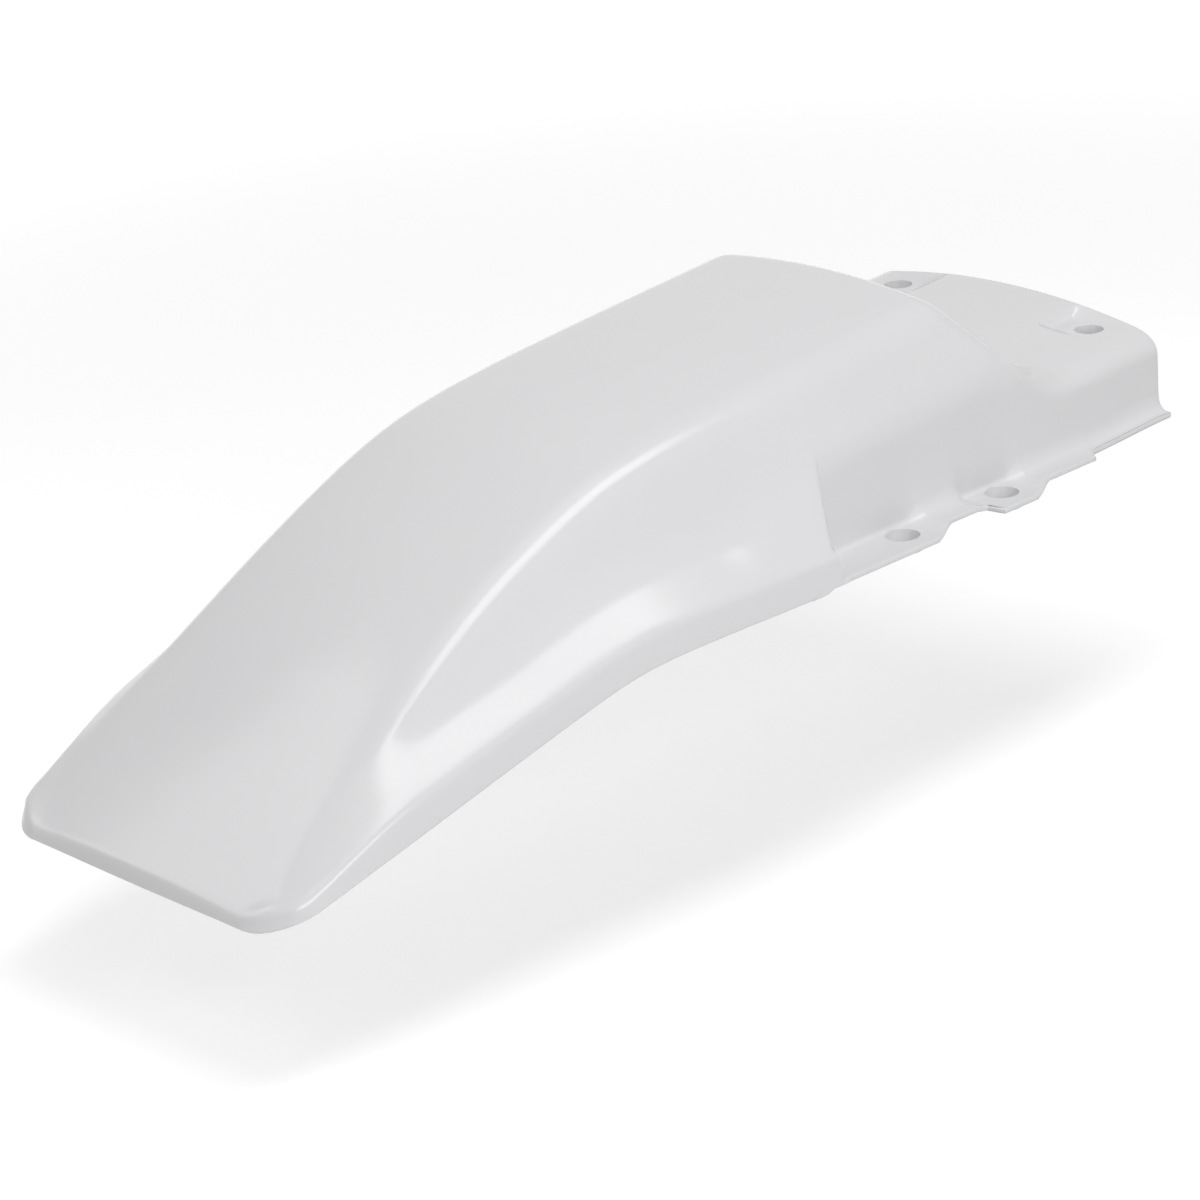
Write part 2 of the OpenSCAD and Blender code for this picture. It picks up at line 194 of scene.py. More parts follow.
@dataclass(frozen=True)
class ShellSizes:
    """Sizes of the shell in millimetres and degrees, with its slopes and shares, as the solid has them."""

    wall: float = 3.0
    tail_reach: float = 449.0
    front_reach: float = 173.0
    shoulder_z: float = 82.2
    shoulder_y: float = 79.3
    crown_rise: float = 6.5
    tail_rise: float = 2.0
    shoulder_round: float = 13.0
    bend_x: float = -212.0
    bend_soft: float = 47.0
    top_slope: float = 0.071
    fall_slope: float = 0.521
    tail_droop: float = 24.0
    droop_x: float = -270.0
    tail_half: float = 102.5
    flare_half: float = 131.5
    side_bulge: float = 0.22
    corner_r: float = 23.2
    end_bow: float = 4.2
    edge_r: float = 6.0
    lip_h: float = 17.0
    lip_tail_h: float = 8.0
    lip_lean: float = 1.0
    lip_z: float = -3.2
    lip_bend_x: float = -232.0
    lip_bend_soft: float = 25.0
    lip_fall: float = 0.312
    lip_rise: float = 0.01
    lip_front_round: float = 5.0
    flange_angle: float = 37.0
    paddle_angle: float = 8.0
    foot_tail_y: float = 90.4
    flare_x: float = -105.3
    flare_slant: float = 22.0
    end_round: float = 5.0
    wall_y: float = 101.0
    flank_drop: float = 40.0
    panel_z: float = 55.3
    panel_pitch: float = 0.056
    panel_rise: float = 10.8
    panel_round: float = 15.7
    crown_front: float = 29.0
    step_slope: float = 1.15
    step_round: float = 8.5
    step_bow: float = 5.0
    tab_pitch: float = 75.0
    tab_span: float = 220.0
    tab_bore: float = 17.5
    tab_half: float = 127.7
    rim_half: float = 117.2
    nose_half: float = 110.0
    nose_lift: float = 4.0
    tab_ahead: float = 8.1
    tab_slant: float = 21.0
    tab_behind: float = 18.8
    rim_lift: float = 1.5
    rim_round: float = 9.0
    tab_round: float = 3.0
    pocket_depth: float = 1.3
    tab_boss: float = 22.5
    notch_x: float = 103.2
    seat_setback: float = 17.0
    seat_hole_span: float = 138.0
    seat_bore: float = 15.5
    pad_z: float = 47.3
    pad_inner: float = 19.0
    pad_back: float = 13.0
    pad_ahead: float = 9.5
    seat_boss: float = 22.0
    boss_depth: float = 7.0
    foot_round: float = 12.0
    wall_round: float = 9.0
    step_crease: float = 16.0
    floor_round: float = 5.0
    side_round: float = 34.0
    pad_ramp: float = 4.0
    nose_ramp: float = 5.0
    nose_wall_top: float = 22.0
    draft: float = 1.2
    step_lead: float = 8.0
    slant_reach: float = 75.0
    slope_run: float = 10.0
    paddle_run: float = 86.0
    swell_run: float = 116.0
    bend_span: Span = (-48.0, 47.0)
    spread_lead: float = 15.0
    blend_lead: float = 65.0
    lip_corner_lead: float = 13.0
    step_back: float = 28.0
    step_run: float = 62.0
    crease_fade: Span = (45.0, 67.0)
    nose_lead: float = 11.0
    nose_run: float = 63.0
    nose_splay: float = 1.0
    tab_rise: float = 8.0
    tab_fade: Span = (6.0, 14.0)
    rim_fit: float = 0.8
    round_share: float = 0.45
    pad_shares: Span = (0.45, 0.62)
    slant_loss: float = 0.3
    lean_limit: float = 0.5


@dataclass
class SectionCounts:
    """How many steps each stretch of half a section gets."""

    steps: dict[Stretch, int] = field(default_factory=lambda: {
        Stretch.CROWN: 24,
        Stretch.SHOULDER: 12,
        Stretch.FLANK: 5,
        Stretch.FOOT: 8,
        Stretch.FLANGE: 6,
        Stretch.EDGE: 5,
        Stretch.LIP: 4,
    })

    def before(self, stretch: Stretch) -> int:
        """Number of steps before a stretch begins.

        Args:
            stretch: The stretch.

        Returns:
            The number of steps.
        """
        total = 0
        for name, count in self.steps.items():
            if name is stretch:
                return total
            total += count
        return total

    @property
    def deck(self) -> int:
        """Steps from the middle plane to where the edge begins."""
        return self.before(Stretch.EDGE)

    @property
    def half(self) -> int:
        """Steps over the whole of half a section."""
        return sum(self.steps.values())


class FenderForm:
    """Guide lines and sections of the shell, in millimetres."""

    def __init__(self, sizes: ShellSizes, counts: SectionCounts) -> None:
        """Keeps the sizes and works out the places that follow from them.

        Args:
            sizes: Sizes of the shell.
            counts: Steps of each stretch of a section.
        """
        s = self.s = sizes
        self.counts = counts
        self.tail_x = -s.tail_reach
        self.straight_x = self.tail_x + s.corner_r
        self.paddle_x = self.tail_x + s.paddle_run
        self.swell_x = self.tail_x + s.swell_run
        self.spread_x = s.flare_x - s.spread_lead
        self.blend_x = s.flare_x - s.blend_lead
        self.lip_corner_x = s.flare_x - s.lip_corner_lead
        self.hole_x = s.tab_pitch / 2
        self.seat_x = s.front_reach - s.seat_setback
        self.seat_y = s.seat_hole_span / 2
        self.rear_front = -self.hole_x + s.tab_ahead
        self.rear_end = self.rear_front + s.tab_slant
        self.fore_back = self.hole_x - s.tab_behind
        self.fore_front = self.hole_x + s.tab_ahead
        self.fore_end = self.fore_front + s.tab_slant
        self.pad_inner_y = self.seat_y - s.pad_inner
        self.pad_back_x = self.seat_x - s.pad_back
        self.pad_front_x = self.seat_x + s.pad_ahead
        self.step_start = s.crown_front - s.step_back
        self.step_end = s.crown_front + s.step_run
        self.nose_start = s.crown_front + s.nose_lead
        self.nose_end = s.crown_front + s.nose_run
        self.nose_wall_y = s.wall_y + s.nose_splay

    def shoulder(self, x: float) -> float:
        """Height of the shoulder line.

        Args:
            x: Place along the fender.

        Returns:
            The height at x.
        """
        s = self.s
        droop = s.tail_droop * ramp(x, s.droop_x, self.tail_x) ** 2
        return bend(x, s.bend_x, s.shoulder_z, s.fall_slope, s.top_slope, s.bend_soft) - droop

    def lip_line(self, x: float) -> float:
        """Height of the lip's lower edge, without its rounded front corner."""
        s = self.s
        return bend(x, s.lip_bend_x, s.lip_z, s.lip_fall, s.lip_rise, s.lip_bend_soft)

    def lip_end(self, x: float) -> float:
        """Height of the lip's lower edge."""
        return self.lip_line(x) + self.s.lip_front_round * ramp(x, self.lip_corner_x, self.s.flare_x) ** 2

    def edge_line(self, x: float) -> float:
        """Height where the flange would meet the lip."""
        return self.lip_line(x) + mix(self.s.lip_tail_h, self.s.lip_h, ease(x, self.tail_x, self.paddle_x))

    def side_half(self, x: float) -> float:
        """Half width at the lip.

        Args:
            x: Place along the fender.

        Returns:
            The distance from the middle plane.
        """
        s = self.s
        t = ramp(x, self.tail_x, s.flare_x)
        return mix(s.tail_half, s.flare_half, t * (1 + s.side_bulge) - s.side_bulge * t * t)

    def wall_at(self, x: float) -> float:
        """Distance of the side wall from the middle plane."""
        return mix(self.s.wall_y, self.nose_wall_y, ease(x, self.s.crown_front, self.nose_end))

    def wall_top(self, x: float) -> float:
        """Height of the side wall's top."""
        drop = self.shoulder(x) - self.s.flank_drop
        return mix(drop, self.s.nose_wall_top, ease(x, self.nose_start, self.nose_end))

    def crown(self, x: float, y: float) -> float:
        """Height of the crown.

        Args:
            x: Place along the fender.
            y: Distance from the middle plane.

        Returns:
            The height at x and y.
        """
        s = self.s
        rise = mix(s.tail_rise, s.crown_rise, ease(x, self.tail_x, self.swell_x))
        return self.shoulder(x) + rise * (1 - (y / s.shoulder_y) ** 2)

    def arch(self, x: float, y: float) -> float:
        """Height of the front panel without its pads."""
        s = self.s
        return s.panel_z - s.panel_pitch * (s.front_reach - x) - s.panel_rise * (y / self.nose_wall_y) ** 2

    def panel(self, x: float, y: float) -> float:
        """Height of the front panel with its pads.

        Args:
            x: Place along the fender.
            y: Distance from the middle plane.

        Returns:
            The height at x and y.
        """
        s = self.s
        z = self.arch(x, y)
        share = (
            ease(x, self.pad_back_x - s.pad_ramp, self.pad_back_x)
            * (1 - ease(x, self.pad_front_x, s.front_reach))
            * ease(y, self.pad_inner_y - s.pad_ramp, self.pad_inner_y)
        )
        return z - share * max(0.0, z - s.pad_z)

    def step(self, x: float, y: float, top: float, floor: float) -> float:
        """Height on the rounded step between two skins.

        Args:
            x: Place along the fender.
            y: Distance from the middle plane.
            top: Height of the skin behind the step.
            floor: Height of the skin ahead of it.

        Returns:
            The height at x and y.
        """
        s = self.s
        out = y / s.shoulder_y
        ahead = x - s.crown_front + s.step_bow * out**2
        fall = self.shoulder(s.crown_front) + s.crown_rise - s.step_slope * ahead
        return soft_max(floor, soft_min(top, fall, s.step_round), mix(s.floor_round, s.side_round, out**4))

    def top(self, x: float, y: float) -> float:
        """Height of the skin between the shoulders.

        Args:
            x: Place along the fender.
            y: Distance from the middle plane.

        Returns:
            The height at x and y.
        """
        if x < self.step_start:
            return self.crown(x, y)
        if x > self.step_end + self.s.step_lead:
            return self.panel(x, y)
        return self.step(x, y, self.crown(x, y), self.arch(x, y))

    def shoulder_at(self, x: float) -> Point:
        """Corner that the shoulder's rounding is drawn to.

        Args:
            x: Place along the fender.

        Returns:
            The corner as (distance, height).
        """
        s = self.s
        full = self.shoulder(x)
        z = full if x < self.step_start else self.step(x, s.shoulder_y, full, self.arch(x, self.nose_wall_y))
        wall = self.wall_at(x)
        return (min(wall, s.shoulder_y + max(0.0, full - z) * (wall - s.shoulder_y) / s.flank_drop), z)

    def foot_at(self, x: float) -> Point:
        """Corner that the flared side's foot is drawn to.

        Args:
            x: Place along the fender.

        Returns:
            The corner as (distance, height).
        """
        s = self.s
        y = mix(s.foot_tail_y, s.wall_y, ease(x, self.swell_x, self.spread_x))
        slope = math.tan(math.radians(mix(s.paddle_angle, s.flange_angle, ease(x, self.tail_x, self.paddle_x))))
        z = self.edge_line(x) + (self.side_half(x) - y) * slope
        return (y, mix(z, self.wall_top(x), ease(x, self.blend_x, s.flare_x)))

    def lip_top(self, x: float) -> Point:
        """Corner between the flange and the lip."""
        return (self.side_half(x), self.edge_line(x))

    def shoulder_reach(self, x: float) -> float:
        """Length of the shoulder's rounding.

        Args:
            x: Place along the fender.

        Returns:
            The length.
        """
        s = self.s
        at_step = ease(x, s.crown_front - s.step_lead, s.crown_front + s.step_lead)
        on_panel = ease(x, *(s.crown_front + run for run in s.crease_fade))
        return mix(mix(s.shoulder_round, s.step_crease, at_step), s.panel_round, on_panel)

    def tab_share(self, x: float) -> float:
        """1 on the side tabs and 0 on the plain flange.

        Args:
            x: Place along the fender.

        Returns:
            The share, from 0 to 1.
        """
        near, far = self.s.tab_fade
        rear = 1 - ramp(x, self.rear_front + near, self.rear_front + far)
        rise = ease(x, self.fore_back - self.s.tab_rise, self.fore_back)
        fore = rise * (1 - ramp(x, self.fore_front + near, self.fore_front + far))
        return max(rear, fore)

    def rim_edge(self, x: float) -> float:
        """Half width over the flange and the tabs.

        Args:
            x: Place along the fender.

        Returns:
            The distance from the middle plane.
        """
        s = self.s
        if x < self.rear_front:
            return s.tab_half
        if x < self.fore_back:
            return mix(s.tab_half, s.rim_half, ramp(x, self.rear_front, self.rear_end))
        if x < s.notch_x:
            tab = ramp(x, self.fore_back, self.fore_back + s.draft) * (1 - ramp(x, self.fore_front, self.fore_end))
            return mix(s.rim_half, s.tab_half, tab)
        return mix(s.rim_half, s.nose_half, ramp(x, s.notch_x, s.notch_x + s.nose_ramp))

    def rim_corner(self, x: float) -> tuple[Point, Point, Point]:
        """Start, corner and end of the rounding at the side wall's foot.

        Args:
            x: Place along the fender.

        Returns:
            The three points as (distance, height).
        """
        s = self.s
        share = self.tab_share(x)
        y = self.wall_at(x) - s.pocket_depth * share
        z = mix(s.rim_lift * (1 - share), s.nose_lift, ease(x, s.notch_x, s.front_reach))
        r = mix(s.rim_round, s.tab_round, share)
        out = min(r, s.rim_fit * (self.rim_edge(x) - y))
        return ((y, z + r), (y, z), (y + out, z))

    def edge_slope(self, x: float) -> float:
        """Slope at which the flange meets its rounded edge."""
        f, e = self.foot_at(x), self.lip_top(x)
        return math.atan((f[1] - e[1]) / (e[0] - f[0]))

    def edge_inset(self, slope: float) -> float:
        """Depth of the rounded edge behind the lip."""
        return self.s.edge_r * (1 - math.sin(slope))

    def crown_y(self, x: float, k: float, last: float) -> float:
        """Place across the crown, drawn to the pads' inner walls near the front.

        Args:
            x: Place along the fender.
            k: Share of the way from the middle plane to the shoulder.
            last: Place where the shoulder's rounding begins.

        Returns:
            The distance from the middle plane.
        """
        inner = self.pad_inner_y - self.s.pad_ramp
        foot, top = self.s.pad_shares
        if k < foot:
            near = inner * k / foot
        elif k < top:
            near = mix(inner, self.pad_inner_y, ramp(k, foot, top))
        else:
            near = mix(self.pad_inner_y, last, ramp(k, top, 1.0))
        return mix(last * k, near, ease(x, self.step_end, self.pad_back_x - self.s.pad_ramp))

    def deck_line(self, x: float, flared: bool) -> list[Point]:
        """Half a section from the middle plane to where its edge begins.

        Args:
            x: Place along the fender.
            flared: Whether the side is the flared one or the mount section's.

        Returns:
            The points as (distance from the middle plane, height).
        """
        n, sizes = self.counts.steps, self.s
        shoulder = self.shoulder_at(x)
        if flared:
            foot = self.foot_at(x)
            slope = self.edge_slope(x)
            inset = self.edge_inset(slope)
            lip = self.lip_top(x)
            edge = (lip[0] - inset, lip[1] + inset * math.tan(slope))
        else:
            foot = (self.wall_at(x), self.wall_top(x))
            edge = self.rim_corner(x)[0]
        reach = self.shoulder_reach(x)
        last = shoulder[0] - reach
        flank = sizes.round_share * math.dist(shoulder, foot)
        flange = sizes.round_share * math.dist(foot, edge)
        bottom = min(sizes.foot_round if flared else sizes.wall_round, flank, flange)
        flank_top = toward(shoulder, foot, min(reach, flank))
        flank_end, flange_top = toward(foot, shoulder, bottom), toward(foot, edge, bottom)
        line: list[Point] = []
        for k in range(n[Stretch.CROWN]):
            y = self.crown_y(x, k / n[Stretch.CROWN], last)
            line.append((y, self.top(x, y)))
        start = (last, self.top(x, last))
        line += [corner(start, shoulder, flank_top, k / n[Stretch.SHOULDER]) for k in range(n[Stretch.SHOULDER])]
        line += self.straight(flank_top, flank_end, n[Stretch.FLANK])
        line += [corner(flank_end, foot, flange_top, k / n[Stretch.FOOT]) for k in range(n[Stretch.FOOT])]
        line += self.straight(flange_top, edge, n[Stretch.FLANGE])
        line.append(edge)
        return line

    @staticmethod
    def straight(a: Point, b: Point, count: int) -> list[Point]:
        """Evenly spaced points from a, without b."""
        return [(mix(a[0], b[0], k / count), mix(a[1], b[1], k / count)) for k in range(count)]


@dataclass(frozen=True)
class Station:
    """One row of the skin: its place, its turn round the tail corner and its side."""

    x: float
    turn: float
    flared: bool


class FenderSkin:
    """Places of the skin's points, row by row and step by step."""

    pace: float = 3.6
    fine_pace: float = 1.8
    corner_rows: int = 12
    end_shares: tuple[float, ...] = (1.0, 0.7, 0.4, 0.2, 0.07, 0.0)
    crowding: float = 1.5

    def __init__(self, form: FenderForm) -> None:
        """Lists the stations along the fender.

        Args:
            form: Guide lines of the shell.
        """
        self.form = form
        self.stations = self.list_stations()
        self.deck_cache: dict[tuple[float, bool], list[Point]] = {}

    def list_stations(self) -> list[Station]:
        """Stations from the tail to the front edge.

        Returns:
            One station for each row of the skin.
        """
        f, s = self.form, self.form.s
        turns = [90 - 90 * k / self.corner_rows for k in range(self.corner_rows)]
        rows = [Station(f.tail_x + s.corner_r * (1 - math.sin(math.radians(t))), t, True) for t in turns]
        end, start = s.flare_x, s.flare_x + s.draft
        flared = [
            f.straight_x, *(s.bend_x + run for run in s.bend_span), f.lip_corner_x,
            *(end - s.end_round * t for t in self.end_shares),
        ]
        mount = [
            *(start + s.end_round * t for t in reversed(self.end_shares)), f.rear_front, f.rear_end,
            f.fore_back, f.fore_back + s.draft, f.fore_front, f.fore_end, f.step_end,
            s.notch_x, s.notch_x + s.nose_ramp, f.pad_back_x - s.pad_ramp, f.pad_back_x, f.pad_front_x, s.front_reach,
        ]
        for marks, side in ((flared, True), (mount, False)):
            rows.append(Station(marks[0], 0.0, side))
            for a, b in zip(marks, marks[1:]):
                near_step = a >= f.fore_back and b <= s.notch_x
                count = max(1, round((b - a) / (self.fine_pace if near_step else self.pace)))
                rows += [Station(mix(a, b, k / count), 0.0, side) for k in range(1, count + 1)]
        return rows

    def line(self, x: float, flared: bool) -> list[Point]:
        """Half a section at x, worked out once.

        Args:
            x: Place along the fender.
            flared: Whether the side is the flared one.

        Returns:
            The points as (distance, height).
        """
        key = (x, flared)
        if key not in self.deck_cache:
            self.deck_cache[key] = self.form.deck_line(x, flared)
        return self.deck_cache[key]

    def end_slope(self) -> float:
        """Slope of the edge's guide line at the tail."""
        f, run = self.form, self.form.s.slope_run
        return (f.edge_line(f.tail_x + run) - f.edge_line(f.tail_x)) / run

    def row_slope(self, row: Station, x: float) -> float:
        """Slope of the edge at a row, turned round the tail corner."""
        t = math.radians(row.turn)
        return math.atan(math.sin(t) * self.end_slope() + math.cos(t) * math.tan(self.form.edge_slope(x)))

    def tail_slope(self, y: float) -> float:
        """Slope of the skin across the tail end.

        Args:
            y: Distance from the middle plane.

        Returns:
            The angle, in radians.
        """
        f, s = self.form, self.form.s
        fall = (f.crown(f.tail_x + s.slope_run, y) - f.crown(f.tail_x, y)) / s.slope_run
        return math.atan(mix(self.end_slope(), fall, 1 - (y / (s.tail_half - s.corner_r)) ** 2))

    def slant(self, n: int, x: float) -> float:
        """Forward slant of the flared side's end.

        Args:
            n: Number of the step from the middle plane.
            x: Place along the fender.

        Returns:
            The way forwards, in millimetres.
        """
        f, s = self.form, self.form.s
        c = f.counts
        if n >= c.deck:
            return 0.0
        low = ramp(n, c.before(Stretch.FOOT), c.before(Stretch.FLANGE))
        out = ramp(n, c.before(Stretch.FLANGE), c.deck)
        share = (1 - s.slant_loss * low) * (1 - out)
        return s.flare_slant * share * (1 - ramp(abs(x - s.flare_x), 0, s.slant_reach))

    def lean(self, x: float, d: float) -> float:
        """Share of the way to the other section that rounds the flared end's edge and foot.

        Args:
            x: Place along the fender.
            d: Distance between the two sections' points.

        Returns:
            The share, from 0 to 1.
        """
        s = self.form.s
        t = 1 - ramp(min(abs(x - s.flare_x), abs(x - s.flare_x - s.draft)), 0, s.end_round)
        return (1 - math.sqrt(1 - t * t)) * min(s.lean_limit, s.end_round / max(d, s.end_round))

    def deck_point(self, i: int, n: int) -> Vector:
        """Point of the deck at row i and step n from the middle plane.

        Args:
            i: Number of the row.
            n: Number of the step, up to where the edge begins.

        Returns:
            The point on the left side, in millimetres.
        """
        f, s, row = self.form, self.form.s, self.stations[i]
        if row.turn > 0:
            t = math.radians(row.turn)
            inset = f.edge_inset(self.row_slope(row, row.x))
            x = row.x + inset * math.sin(t)
            line = self.line(x, True)
            side = f.side_half(row.x) - s.corner_r * (1 - math.cos(t)) - inset * math.cos(t)
            y = line[n][0] * side / line[-1][0]
            z = look_up(y, line)
        else:
            x = row.x + self.slant(n, row.x)
            own, other = self.line(x, row.flared)[n], self.line(x, not row.flared)[n]
            lean = 0.0 if n == f.counts.deck else self.lean(row.x, math.dist(own, other))
            y, z = mix(own[0], other[0], lean), mix(own[1], other[1], lean)
        bow = s.end_bow * (1 - (y / s.tail_half) ** 2) * (1 - ramp(x, f.tail_x, f.paddle_x))
        return Vector((x - bow, y, z))

    def lip_point(self, e: Vector, slope: float, way: Point, bottom: float, k: int) -> Vector:
        """Point of the rounded edge and lip outside point e.

        Args:
            e: Point where the edge begins.
            slope: Slope of the skin there.
            way: Outward direction in plan.
            bottom: Height of the lip's lower edge.
            k: Number of the step after e.

        Returns:
            The point, in millimetres.
        """
        f, s, c = self.form, self.form.s, self.form.counts
        edge, lip = c.steps[Stretch.EDGE], c.steps[Stretch.LIP]
        g = mix(slope, math.pi / 2, min(1.0, k / edge))
        out = s.edge_r * (math.sin(g) - math.sin(slope))
        z = e.z + s.edge_r * (math.cos(g) - math.cos(slope))
        if k > edge:
            share = self.crowd((k - edge) / lip)
            out += s.lip_lean * share
            z = mix(z, bottom, share)
        return Vector((e.x + out * way[0], e.y + out * way[1], z))

    def crowd(self, share: float) -> float:
        """Share of the way to a rim, with the rows drawn close to it."""
        return 1 - (1 - share) ** self.crowding

    def rim_point(self, x: float, k: int) -> Vector:
        """Point of the rounded foot and flange of the mount section.

        Args:
            x: Place along the fender.
            k: Number of the step after the wall's foot.

        Returns:
            The point on the left side, in millimetres.
        """
        f, c = self.form, self.form.counts
        edge, lip = c.steps[Stretch.EDGE], c.steps[Stretch.LIP]
        a, b, d = f.rim_corner(x)
        y, z = corner(a, b, d, min(1.0, k / edge))
        if k > edge:
            y = mix(y, f.rim_edge(x), self.crowd((k - edge) / lip))
        return Vector((x, y, z))

    def point(self, i: int, n: int) -> Vector:
        """Point of the skin at row i and signed step n, in metres.

        Args:
            i: Number of the row.
            n: Number of the step, below 0 on the right side.

        Returns:
            The point.
        """
        c = self.form.counts
        side = Side.RIGHT if n < 0 else Side.LEFT
        m = abs(n)
        row = self.stations[i]
        if m <= c.deck:
            p = self.deck_point(i, m)
        else:
            e = self.deck_point(i, c.deck)
            if row.flared:
                t = math.radians(row.turn)
                way = (-math.sin(t), math.cos(t))
                p = self.lip_point(e, self.row_slope(row, e.x), way, self.form.lip_end(e.x), m - c.deck)
            else:
                p = self.rim_point(e.x, m - c.deck)
        return Vector((p.x, p.y * side.value, p.z)) * MM

    def tail_point(self, n: int, k: int) -> Vector:
        """Point k steps down the tail end's lip at signed step n, in metres.

        Args:
            n: Number of the step across the tail, below 0 on the right side.
            k: Number of the step down the lip.

        Returns:
            The point.
        """
        c = self.form.counts
        e = self.deck_point(0, abs(n))
        bottom = self.form.lip_end(self.deck_point(0, c.deck).x)
        p = self.lip_point(e, self.tail_slope(e.y), (-1.0, 0.0), bottom, k)
        return Vector((p.x, -p.y if n < 0 else p.y, p.z)) * MM


class Value:
    """A socket that takes part in Python arithmetic and adds Math nodes for it."""

    def __init__(self, tree: "Nodes", socket: bpy.types.NodeSocket) -> None:
        """Keeps the node tree and the socket."""
        self.tree = tree
        self.socket = socket

    def _math(self, operation: str, first: "Value | float", second: "Value | float") -> "Value":
        """A Math node of two inputs."""
        return self.tree.add("ShaderNodeMath", {"operation": operation}, {0: first, 1: second})

    def __add__(self, other: "Value | float") -> "Value":
        """Sum."""
        return self._math("ADD", self, other)

    __radd__ = __add__

    def __sub__(self, other: "Value | float") -> "Value":
        """Difference."""
        return self._math("SUBTRACT", self, other)

    def __rsub__(self, other: "Value | float") -> "Value":
        """Difference from a number."""
        return self._math("SUBTRACT", other, self)

    def __mul__(self, other: "Value | float") -> "Value":
        """Product."""
        return self._math("MULTIPLY", self, other)

    __rmul__ = __mul__

    def greater(self, other: "Value | float") -> "Value":
        """Greater of two values."""
        return self._math("MAXIMUM", self, other)


class Nodes:
    """A material's or the world's node tree, filled by one method."""

    def __init__(self, tree: bpy.types.NodeTree) -> None:
        """Empties the tree."""
        self.tree = tree
        tree.nodes.clear()

    def add(self, kind: str, settings: dict[str, object] | None = None,
            inputs: dict[int | str, object] | None = None, output: int | str = 0) -> Value:
        """Adds a node, sets it and links or fills its sockets.

        Args:
            kind: Blender's type of the node.
            settings: Properties set before the sockets.
            inputs: Socket names or numbers to values or to other nodes' outputs.
            output: Name or number of the output that is returned.

        Returns:
            The chosen output socket, ready for arithmetic.
        """
        node = self.tree.nodes.new(kind)
        for name, value in (settings or {}).items():
            setattr(node, name, value)
        for name, value in (inputs or {}).items():
            socket = node.inputs[name]
            if isinstance(value, Value):
                self.tree.links.new(value.socket, socket)
            else:
                socket.default_value = value
        return Value(self, node.outputs[output]) if len(node.outputs) else Value(self, node.inputs[0])

    def seen(self) -> Value:
        """1 for what the camera sees, straight on, in a reflection or through glass, and 0 for light."""
        kinds = ("Camera", "Glossy", "Transmission")
        views = [self.add("ShaderNodeLightPath", output=f"Is {kind} Ray") for kind in kinds]
        return views[0].greater(views[1]).greater(views[2])


def new_material(name: str) -> tuple[bpy.types.Material, Nodes]:
    """Makes an empty node material.

    Args:
        name: Name of the material.

    Returns:
        The material and its node tree.
    """
    material = bpy.data.materials.new(name)
    material.use_nodes = True
    return material, Nodes(material.node_tree)


@dataclass(frozen=True)
class MouldedPlastic:
    """Smooth white polypropylene as it leaves the mould."""

    name: str = "white_polypropylene"
    colour: Colour = (0.80, 0.80, 0.81, 1.0)
    shade: Colour = (0.765, 0.765, 0.78, 1.0)
    gloss: float = 0.18
    gloss_spread: float = 0.05
    flow_size: float = 9.0
    flow_detail: float = 3.0
    flow_rough: float = 0.5
    grain_size: float = 900.0
    grain_detail: float = 2.0
    grain_rough: float = 0.6
    grain_depth: float = 0.00002
    grain_strength: float = 0.25
    refraction: float = 1.49
    middle: float = 0.5

    def build(self) -> bpy.types.Material:
        """Makes the material.

        Returns:
            A procedural material on Object coordinates.
        """
        material, nodes = new_material(self.name)
        place = nodes.add("ShaderNodeTexCoord", output="Object")
        flow = nodes.add("ShaderNodeTexNoise", {"noise_dimensions": "3D"},
                         {"Vector": place, "Scale": self.flow_size, "Detail": self.flow_detail,
                          "Roughness": self.flow_rough})
        fine = nodes.add("ShaderNodeTexNoise", {"noise_dimensions": "3D"},
                         {"Vector": place, "Scale": self.grain_size, "Detail": self.grain_detail,
                          "Roughness": self.grain_rough})
        tint = nodes.add("ShaderNodeMix", {"data_type": "RGBA"},
                         {"Factor": flow, "A": self.shade, "B": self.colour}, "Result")
        drift = (flow - self.middle) * self.gloss_spread
        rough = self.gloss + drift + (fine - self.middle) * (self.gloss_spread / 2)
        bump = nodes.add("ShaderNodeBump", {},
                         {"Strength": self.grain_strength, "Distance": self.grain_depth, "Height": fine})
        shader = nodes.add("ShaderNodeBsdfPrincipled", {},
                           {"Base Color": tint, "Roughness": rough, "Normal": bump, "IOR": self.refraction})
        nodes.add("ShaderNodeOutputMaterial", {}, {"Surface": shader})
        return material


